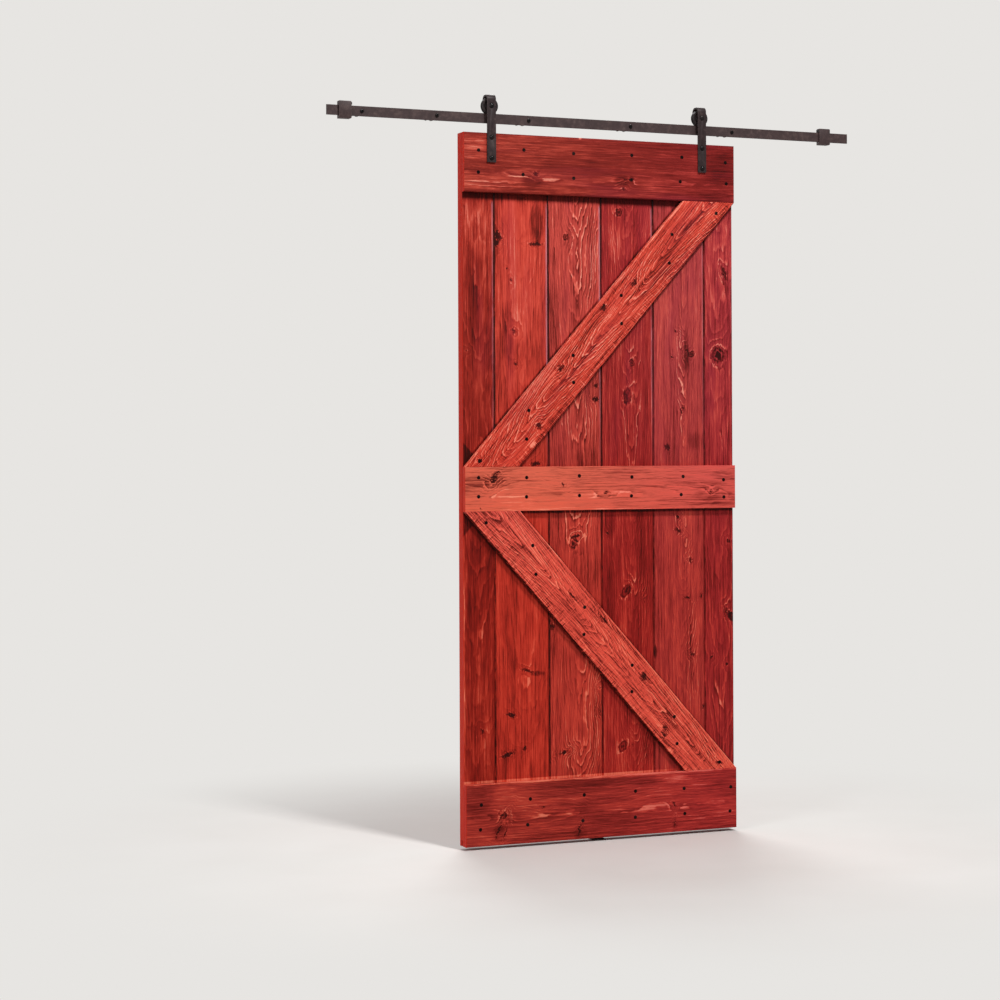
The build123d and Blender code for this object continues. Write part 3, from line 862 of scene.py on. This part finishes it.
# Paler coating on the rounded edges of straps, stops and floor guide: wear, and a painted highlight
# along the edges
EDGE_WEAR_AND_HIGHLIGHT = coated_steel("steel_edge_wear_and_highlight", (104, 90, 88), 0.45, gloss=0.4, wear=0.4)
DARK_WHEEL = coated_steel("dark_wheel", (28, 21, 22), 0.4, gloss=0.2, wear=0.15)
BLACK_BOLT = coated_steel("black_bolt", (9, 6, 7), 0.2, gloss=0.14, wear=0.03)
WOOD_SCREW = coated_steel("black_screw", (12, 3, 3), 0.7, gloss=0.06, wear=0.0)
ZINC = bare_metal("zinc_steel", (186, 184, 176), 0.34)
BEARING = bare_metal("bearing_steel", (200, 200, 202), 0.22, brush=(0.4, 20.0, 0.4))
RUBBER = rubber("black_rubber")


# Mesh pieces

WELD = 1e-6
FLAT_ANGLE = 1.0
SHARP_ANGLE = 35.0


def link(name, data):
    """Adds an object to the scene."""
    thing = bpy.data.objects.new(name, data)
    bpy.context.scene.collection.objects.link(thing)
    return thing


def finish_piece(name, mesh, finish, body, slot, *replaced):
    """Links a mesh as a piece that rides on a body, and stands for the named nodes.

    The finish is a material, or one for the faces and one for their rounded edges.
    """
    for material in finish if isinstance(finish, tuple) else (finish,):
        mesh.materials.append(material)
    mesh.shade_smooth()
    mesh.set_sharp_from_angle(angle=math.radians(SHARP_ANGLE))
    piece = link(name, mesh)
    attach(piece, body)
    if replaced:
        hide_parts(*replaced)


def make_piece(name, build, finish, body, slot, *replaced):
    """Makes a piece whose mesh comes from a function that fills a bmesh."""
    shape = bmesh.new()
    build(shape)
    bmesh.ops.recalc_face_normals(shape, faces=shape.faces)
    mesh = bpy.data.meshes.new(name)
    shape.to_mesh(mesh)
    shape.free()
    finish_piece(name, mesh, finish, body, slot, *replaced)


def softened(outline, radius, steps=4):
    """The closed outline with every corner rounded by a short curve."""
    points = []
    for index, corner in enumerate(outline):
        here = Vector(corner)
        before = Vector(outline[index - 1])
        after = Vector(outline[(index + 1) % len(outline)])
        reach = min(radius, (before - here).length * 0.45, (after - here).length * 0.45)
        start = here + (before - here).normalized() * reach
        end = here + (after - here).normalized() * reach
        for step in range(steps + 1):
            share = step / steps
            points.append(start.lerp(here, share).lerp(here.lerp(end, share), share))
    return points


def add_point(shape, x, y, z):
    """Adds a vertex whose place is given in millimetres."""
    return shape.verts.new((x * MM, y * MM, z * MM))


def add_ring(shape, x, y, z, radius, segments):
    """Adds a ring of vertices about the line through x and z along Y.

    radius is a number, or a function of the angle, for hexagons.
    """
    ring = []
    for index in range(segments):
        angle = 2 * math.pi * index / segments
        size = radius(angle) if callable(radius) else radius
        ring.append(add_point(shape, x + size * math.cos(angle), y, z + size * math.sin(angle)))
    return ring


def turn(shape, outline, x, z, segments):
    """Adds an outline of (radius, y) in millimetres, turned about the line through x and z.

    An outline that starts on the axis ends there too. Any other is closed.
    """
    rings = []
    for radius, y in outline:
        if radius == 0.0:
            rings.append([add_point(shape, x, y, z)])
        else:
            rings.append(add_ring(shape, x, y, z, radius, segments))
    pairs = list(zip(rings, rings[1:]))
    if outline[0][0] > 0.0:
        pairs.append((rings[-1], rings[0]))
    for one, other in pairs:
        for index in range(segments):
            following = (index + 1) % segments
            corners = [one[index % len(one)], one[following % len(one)]]
            corners += [other[following % len(other)], other[index % len(other)]]
            unique = list(dict.fromkeys(corners))
            if len(unique) > 2:
                shape.faces.new(unique)


def hexagon_radius(flats, cap=math.inf):
    """For each angle, the distance to a hexagon's side. Its corners are cut back to radius cap."""
    sixth = math.pi / 3

    def radius(angle):
        offset = (angle + sixth / 2) % sixth - sixth / 2
        return min(flats / 2 / math.cos(offset), cap)

    return radius


THREAD_SEGMENTS = 36
THREAD_ROWS = 8


def thread(shape, x, z, y0, y1, radius, depth, pitch, tip=0.0, sharpness=2.6):
    """Adds a closed threaded rod along Y, in millimetres. tip is the length of its point."""
    rows = max(int((y1 - y0) / pitch * THREAD_ROWS), 4)
    start = add_point(shape, x, y0, z)
    end = add_point(shape, x, y1, z)
    rings = []
    for row in range(rows + 1):
        y = y0 + (y1 - y0) * row / rows
        taper = min(1.0, (y1 - y) / tip) if tip else 1.0

        def size(angle):
            phase = ((y - y0) / pitch + angle / (2 * math.pi)) % 1.0
            flank = min(1.0, abs(phase - 0.5) * sharpness)
            return max((radius - depth * flank) * taper, 0.02)

        rings.append(add_ring(shape, x, y, z, size, THREAD_SEGMENTS))
    for index in range(THREAD_SEGMENTS):
        following = (index + 1) % THREAD_SEGMENTS
        shape.faces.new((start, rings[0][following], rings[0][index]))
        shape.faces.new((end, rings[-1][index], rings[-1][following]))
        for one, other in zip(rings, rings[1:]):
            shape.faces.new((one[index], one[following], other[following], other[index]))


def edged(node, width, segments):
    """A copy of a CAD node's mesh with its sharp edges rounded."""
    shape = bmesh.new()
    shape.from_mesh(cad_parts[node].data)
    bmesh.ops.remove_doubles(shape, verts=shape.verts, dist=WELD)
    flat = math.radians(FLAT_ANGLE)
    bmesh.ops.dissolve_limit(shape, angle_limit=flat, verts=shape.verts, edges=shape.edges)
    bmesh.ops.bevel(
        shape,
        geom=[
            edge
            for edge in shape.edges
            if edge.is_manifold and edge.calc_face_angle(0.0) > math.radians(SHARP_ANGLE)
        ],
        offset=width * MM,
        offset_type="OFFSET",
        segments=segments,
        profile=0.5,
        affect="EDGES",
        clamp_overlap=True,
        material=1,
    )
    mesh = bpy.data.meshes.new(f"{node}_body")
    shape.to_mesh(mesh)
    shape.free()
    return mesh


def tube_outline(bore, outer, y0, y1, chamfer):
    """The section of a tube along Y with chamfered outer edges."""
    return [
        (bore, y0), (outer - chamfer, y0), (outer, y0 + chamfer),
        (outer, y1 - chamfer), (outer - chamfer, y1), (bore, y1),
    ]


# Wood screws

SCREW_RADIUS = 5.5
SCREW_PROUD = 0.9
SCREW_SUNK = 2.0
SCREW_TURN = 0.71
SCREW_SEGMENTS = 32
SCREW_RINGS = (0.08, 0.2, 0.32, 0.44, 0.56, 0.68, 0.8, 0.9, 0.97, 1.0)
RECESS_DEPTH = 0.72
RECESS_WIDTH = 0.75
RECESS_REACH = 2.5
SCREWS = {
    "top_rail": (
        (48, 53), (196, 46), (361, 49), (558, 45), (731, 43), (884, 53),
        (47, 119), (193, 120), (361, 124), (556, 121), (725, 119), (887, 119),
    ),
    "middle_rail": (
        (44, 1032), (201, 1033), (376, 1029), (554, 1034), (731, 1034), (873, 1045),
        (44, 1089), (200, 1091), (376, 1089), (552, 1092), (724, 1090), (874, 1099),
    ),
    "bottom_rail": (
        (49, 2009), (209, 2001), (388, 2000), (562, 1999), (730, 2001), (894, 2006),
        (46, 2083), (200, 2078), (383, 2078), (561, 2079), (732, 2079), (891, 2081),
    ),
    "upper_brace": (
        (851, 213), (696, 284), (686, 373), (520, 477), (521, 563),
        (357, 663), (358, 745), (209, 831), (201, 917), (47, 983),
    ),
    "lower_brace": (
        (68, 1167), (220, 1238), (230, 1325), (392, 1429), (389, 1512),
        (552, 1612), (551, 1693), (697, 1777), (706, 1861), (855, 1926),
    ),
}


def screw_height(radius, angle):
    """How far a screw's head stands out of the wood, with its cross recess."""
    crown = SCREW_PROUD * math.sqrt(max(0.0, 1.0 - (radius / SCREW_RADIUS) ** 3))
    arms = sorted((abs(radius * math.cos(angle)), abs(radius * math.sin(angle))))
    narrow = max(0.0, 1.0 - (arms[0] / RECESS_WIDTH) ** 4)
    short = max(0.0, 1.0 - (arms[1] / RECESS_REACH) ** 6)
    return crown - RECESS_DEPTH * narrow * short


def add_screw_head(shape, across, down, turned_by):
    """Adds one screw head on the door's front."""
    x = DOOR_LEFT + across
    z = DOOR_TOP - down
    middle = add_point(shape, x, DOOR_FRONT - screw_height(0.0, 0.0), z)
    rings = []
    for share in SCREW_RINGS:
        radius = SCREW_RADIUS * share
        ring = add_ring(shape, x, DOOR_FRONT, z, radius, SCREW_SEGMENTS)
        for index, vert in enumerate(ring):
            angle = 2 * math.pi * index / SCREW_SEGMENTS
            vert.co.y -= screw_height(radius, angle - turned_by) * MM
        rings.append(ring)
    rings.append([shape.verts.new(vert.co + Vector((0, SCREW_SUNK * MM, 0))) for vert in rings[-1]])
    for index in range(SCREW_SEGMENTS):
        following = (index + 1) % SCREW_SEGMENTS
        shape.faces.new((middle, rings[0][index], rings[0][following]))
        for one, other in zip(rings, rings[1:]):
            shape.faces.new((one[index], other[index], other[following], one[following]))
    shape.faces.new(rings[-1])


def make_wood_screws():
    """The dark screws that hold rails and braces to the planks."""
    for board, places in SCREWS.items():

        def build(shape):
            for number, (across, down) in enumerate(places):
                add_screw_head(shape, across, down, number * SCREW_TURN)

        make_piece(f"{board}_screws", build, WOOD_SCREW, "door", "black_bolt")


# Wheels, bolts and nuts

BOLT_RADIUS = 3.95
BOLT_RIM = 1.2
DOME_STEPS = 14
NUT_BORE = BOLT_RADIUS + 0.05
NUT_FLATS = 13.0
NUT_SIDES = hexagon_radius(NUT_FLATS, NUT_FLATS * 0.56)
NUT_END = hexagon_radius(NUT_FLATS, NUT_FLATS * 0.49)
WHEEL_PROFILE = (
    (22.0, 3.0), (26.0, 4.6), (26.0, 6.5), (24.5, 8.0), (19.0, 8.0), (18.0, 6.0), (14.5, 6.0),
    (13.5, 8.0), (11.0, 8.0), (11.0, -3.5), (9.2, -3.5), (9.2, -8.0), (13.5, -8.0), (14.5, -6.0),
    (18.0, -6.0), (19.0, -8.0), (24.5, -8.0), (26.0, -6.5), (26.0, -4.6), (22.0, -3.0),
)


class Round:
    """The one or two equal round solids of a CAD node, along Y and in millimetres."""

    def __init__(self, node):
        low, high = box(node)
        self.node = node
        self.front = low.y
        self.back = high.y
        width = high.x - low.x
        height = high.z - low.z
        self.radius = (height if width > height * 1.5 else width) / 2
        first = (low.x + self.radius, low.z + self.radius)
        last = (high.x - self.radius, high.z - self.radius)
        alone = math.dist(first, last) < self.radius
        self.axes = [((low.x + high.x) / 2, (low.z + high.z) / 2)] if alone else [first, last]

    def make(self, name, outlines, segments, finish, body, slot, rod=None):
        """Makes the piece that stands for the node: turned outlines, and a threaded rod if given."""

        def build(shape):
            for x, z in self.axes:
                for outline in outlines:
                    turn(shape, outline, x, z, segments)
                if rod:
                    thread(shape, x, z, **rod)

        make_piece(name, build, finish, body, slot, self.node)


def make_bolts(name, node, seat, thread_start):
    """Glossy domed bolts, from their crown to the end of their thread."""
    bolt = Round(node)
    cap = seat - bolt.front - BOLT_RIM
    sphere = (bolt.radius**2 + cap**2) / (2 * cap)
    widest = math.asin(min(1.0, bolt.radius / sphere))
    outline = [(0.0, bolt.front)]
    for step in range(1, DOME_STEPS + 1):
        angle = widest * step / DOME_STEPS
        outline.append((sphere * math.sin(angle), bolt.front + sphere * (1 - math.cos(angle))))
    outline += [(bolt.radius, seat - BOLT_RIM / 2), (bolt.radius - 0.25, seat), (BOLT_RADIUS, seat)]
    outline += [(BOLT_RADIUS, thread_start + 0.5), (0.0, thread_start + 0.5)]
    rod = {"y0": thread_start, "y1": bolt.back, "radius": BOLT_RADIUS, "depth": 0.6, "pitch": 1.25}
    bolt.make(name, [outline], 64, BLACK_BOLT, "door", "black_bolt", rod=rod)


def make_nuts(side):
    """A hexagon nut behind the strap, and two flanged nuts sunk in the door's back."""
    nut = Round(f"{side}_axle_nut")
    outline = [
        (NUT_BORE, nut.front), (NUT_END, nut.front), (NUT_SIDES, nut.front + 0.7),
        (NUT_SIDES, nut.back - 0.7), (NUT_END, nut.back), (NUT_BORE, nut.back),
    ]
    nut.make(f"{side}_axle_nut_body", [outline], 72, ZINC, "door", "zinc_steel")
    nut = Round(f"{side}_strap_nuts")
    y = nut.front
    outline = [
        (NUT_BORE, y), (nut.radius - 0.2, y), (nut.radius, y + 0.4), (nut.radius - 0.4, y + 1.1),
        (NUT_SIDES, y + 2.0), (NUT_SIDES, nut.back - 0.7), (NUT_END, nut.back), (NUT_BORE, nut.back),
    ]
    nut.make(f"{side}_strap_nut_pair", [outline], 72, ZINC, "door", "zinc_steel")


def make_wheel(side):
    """A grooved wheel with dished sides, its bearing's outer ring with shields, and its spacers."""
    wheel = Round(f"{side}_wheel")
    middle = (wheel.front + wheel.back) / 2
    outline = softened([(radius, middle + y) for radius, y in WHEEL_PROFILE], 0.5)
    wheel.make(f"{side}_wheel_body", [outline], 96, DARK_WHEEL, f"{side}_wheel", "dark_wheel")

    race = Round(f"{side}_bearing_outer")
    shield = Round(f"{side}_bearing_inner").radius + 0.3
    ring = race.radius
    y0 = race.front
    y1 = race.back
    outline = [
        (shield, y0 + 0.15), (ring - 2.2, y0 + 0.15), (ring - 2.0, y0 + 0.35), (ring - 1.8, y0),
        (ring - 0.3, y0), (ring, y0 + 0.3), (ring, y1 - 0.3), (ring - 0.3, y1),
        (ring - 1.8, y1), (ring - 2.0, y1 - 0.35), (ring - 2.2, y1 - 0.15), (shield, y1 - 0.15),
        (shield, y1 - 0.6), (ring - 1.8, y1 - 0.6), (ring - 1.8, y0 + 0.6), (shield, y0 + 0.6),
    ]
    race.make(f"{side}_bearing_race", [outline], 72, BEARING, f"{side}_wheel", "bearing_steel")

    spacer = Round(f"{side}_axle_spacers")
    outlines = [
        tube_outline(NUT_BORE, spacer.radius, spacer.front, y0, 0.4),
        tube_outline(NUT_BORE, spacer.radius, y1, spacer.back, 0.4),
    ]
    spacer.make(f"{side}_axle_spacer_pair", outlines, 48, ZINC, "door", "zinc_steel")


def make_stop_screws(side):
    """Grub screws with hexagon sockets in the back of a stop."""
    screw = Round(f"{side}_stop_screws")
    radius = screw.radius
    y0 = screw.front
    y1 = screw.back
    socket = hexagon_radius(3.0)
    outline = [
        (0.0, y0), (radius - 0.8, y0), (radius - 0.1, y0 + 0.7), (radius - 0.1, y1 - 0.5),
        (radius - 0.6, y1), (hexagon_radius(3.3), y1), (socket, y1 - 0.2),
        (socket, y1 - 3.0), (0.0, y1 - 3.0),
    ]
    screw.make(f"{side}_stop_screw_pair", [outline], 48, ZINC, "track", "zinc_steel")


def make_wall_fixing(number):
    """A tube that holds the track off the wall, and the lag screw through it."""
    spacer = Round(f"wall_spacer_{number}")
    outline = tube_outline(3.4, spacer.radius, spacer.front, spacer.back, 0.8)
    spacer.make(f"{spacer.node}_body", [outline], 64, BRONZE, "track", "bronze_steel")

    screw = Round(f"lag_screw_{number}")
    head = screw.radius
    seat = box("track_rail")[0].y
    y = screw.front
    end = spacer.back
    socket = hexagon_radius(4.0)
    outline = [
        (0.0, y + 2.0), (socket, y + 2.0), (socket, y + 0.3), (hexagon_radius(4.5), y),
        (head - 1.5, y), (head - 0.6, y + 0.4), (head, y + 1.5), (head, seat - 0.3),
        (head - 0.3, seat), (3.2, seat), (3.2, end - 1.0), (2.4, end), (0.0, end),
    ]
    rod = {"y0": end - 0.5, "y1": screw.back, "radius": 3.0, "depth": 0.9, "pitch": 2.8}
    rod |= {"tip": 7.0, "sharpness": 4.5}
    screw.make(f"{screw.node}_body", [outline], 48, BLACK_BOLT, "track", "black_bolt", rod=rod)


def make_edged(node, width, steps, finish, body, slot):
    """A piece with the small rounds of its edges."""
    finish_piece(f"{node}_body", edged(node, width, steps), finish, body, slot, node)


def make_hardware():
    """Everything of metal and rubber, apart from the wood screws."""
    for side in SIDES:
        strap_front = box(f"{side}_strap")[0].y
        axle_nut = box(f"{side}_axle_nut")[0].y
        strap_nut = box(f"{side}_strap_nuts")[0].y
        make_wheel(side)
        make_bolts(f"{side}_axle_bolt_body", f"{side}_axle_bolt", strap_front, axle_nut)
        make_bolts(f"{side}_strap_bolt_pair", f"{side}_strap_bolts", strap_front, strap_nut - 0.5)
        make_nuts(side)
        make_stop_screws(side)
        make_edged(f"{side}_strap", 0.8, 2, (BRONZE_DARK, EDGE_WEAR_AND_HIGHLIGHT), "door", "bronze_steel")
        make_edged(f"{side}_stop", 0.7, 2, (BRONZE, EDGE_WEAR_AND_HIGHLIGHT), "track", "bronze_steel")
        make_edged(f"{side}_stop_pad", 1.2, 4, (RUBBER, RUBBER), "track", "black_rubber")
        paint(f"{side}_bearing_inner", BEARING)
    for number in range(1, LAG_COUNT + 1):
        make_wall_fixing(number)
    make_edged("floor_guide", 0.6, 2, (BRONZE, EDGE_WEAR_AND_HIGHLIGHT), "track", "bronze_steel")
    paint("track_rail", BRONZE)


# Camera, light and floor

CAMERA_PLACE = (-2.807, -6.414, -0.996)
CAMERA_YAW = -23.06
CAMERA_PITCH = 90.26
CAMERA_ROLL = -0.22
LENS = 82.9
LENS_SHIFT = -0.06
# Name, place, target, size and watts
LAMPS = (
    ("key_lamp", (0.7, -2.9, 3.1), (0.24, -0.05, -1.0), 0.6, 215),
    ("left_lamp", (-4.6, -2.6, 0.6), (0.24, -0.05, -1.1), 2.0, 90),
    ("back_lamp", (1.4, 4.4, 2.2), (0.24, 0.0, -1.0), 3.0, 190),
)
BACKGROUND = (231, 229, 226)
WORLD_LIGHT = 0.28
FLOOR_RADIUS = 9.0
FLOOR_COLOURS = (210, 206, 202), (219, 216, 213)
# Where the floor starts to fade into the background, and where it has, from under the door
FLOOR_FADE = (0.6, 2.0)


def make_camera():
    """The camera, fitted to the photograph's corners of the door and ends of the track."""
    data = bpy.data.cameras.new("camera")
    data.sensor_width = 36.0
    data.lens = LENS
    data.shift_y = LENS_SHIFT
    data.clip_end = 60.0
    yaw = Matrix.Rotation(math.radians(CAMERA_YAW), 4, "Z")
    pitch = Matrix.Rotation(math.radians(CAMERA_PITCH), 4, "X")
    roll = Matrix.Rotation(math.radians(CAMERA_ROLL), 4, "Z")
    camera = link("camera", data)
    camera.matrix_world = Matrix.Translation(CAMERA_PLACE) @ yaw @ pitch @ roll
    bpy.context.scene.camera = camera


def make_lamp(name, place, target, size, watts):
    """A square soft white lamp that points at target."""
    data = bpy.data.lights.new(name, "AREA")
    data.shape = "SQUARE"
    data.size = size
    data.energy = watts
    turned = (Vector(target) - Vector(place)).to_track_quat("-Z", "Y").to_matrix().to_4x4()
    link(name, data).matrix_world = Matrix.Translation(place) @ turned


def seen_rays(nodes, links):
    """1 for rays that come from the camera or off glossy or clear surfaces, else 0."""
    path = nodes.new("ShaderNodeLightPath")
    total = path.outputs["Is Camera Ray"]
    for name in ("Is Glossy Ray", "Is Transmission Ray"):
        node = nodes.new("ShaderNodeMath")
        node.operation = "MAXIMUM"
        links.new(total, node.inputs[0])
        links.new(path.outputs[name], node.inputs[1])
        total = node.outputs[0]
    return total


def mix_shaders(nodes, links, share, one, other, output):
    """Links a share of one shader and of the other to an output's surface."""
    mix = nodes.new("ShaderNodeMixShader")
    for socket, source in zip(mix.inputs, (share, one, other)):
        links.new(source, socket)
    links.new(mix.outputs[0], output.inputs["Surface"])


def make_world():
    """Soft white light from all round, and a plain pale background."""
    world = bpy.data.worlds.new("studio")
    world.use_nodes = True
    nodes = world.node_tree.nodes
    links = world.node_tree.links
    nodes.clear()
    light = nodes.new("ShaderNodeBackground")
    light.inputs["Color"].default_value = (1.0, 1.0, 1.0, 1.0)
    light.inputs["Strength"].default_value = WORLD_LIGHT
    seen = nodes.new("ShaderNodeBackground")
    seen.inputs["Color"].default_value = linear(BACKGROUND)
    output = nodes.new("ShaderNodeOutputWorld")
    mix_shaders(nodes, links, seen_rays(nodes, links), light.outputs[0], seen.outputs[0], output)
    bpy.context.scene.world = world


def make_floor():
    """A plain pale floor that fades into the background away from the door."""
    shape = bmesh.new()
    bmesh.ops.create_circle(shape, cap_ends=True, radius=FLOOR_RADIUS, segments=96)
    mesh = bpy.data.meshes.new("floor")
    shape.to_mesh(mesh)
    shape.free()
    floor = link("floor", mesh)
    floor.location = (DOOR_LEFT * MM + 0.45, 0.0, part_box("floor_guide")[0].z)
    tree = Tree("pale_floor")
    place = tree.object_place()
    grit = tree.noise(place, 0.35, 8, detail=3.0)
    base = tree.mix(tree.clamp(0.5 + grit * 0.6), *FLOOR_COLOURS)
    tree.set(Base_Color=base, Roughness=0.7, Specular_IOR_Level=0.2)
    far = tree.step(tree.length(tree.scaled(place, (1.0, 1.0, 0.0))), *FLOOR_FADE)
    faded = far * Signal(tree, seen_rays(tree.nodes, tree.links))
    glow = tree.nodes.new("ShaderNodeEmission")
    glow.inputs["Color"].default_value = linear(BACKGROUND)
    near = tree.shader.outputs["BSDF"]
    mix_shaders(tree.nodes, tree.links, faded.socket, near, glow.outputs[0], tree.output)
    mesh.materials.append(tree.material)


paint_boards()
make_wood_screws()
make_hardware()
make_camera()
make_world()
make_floor()
for lamp in LAMPS:
    make_lamp(*lamp)
bpy.context.scene.view_settings.view_transform = "Standard"
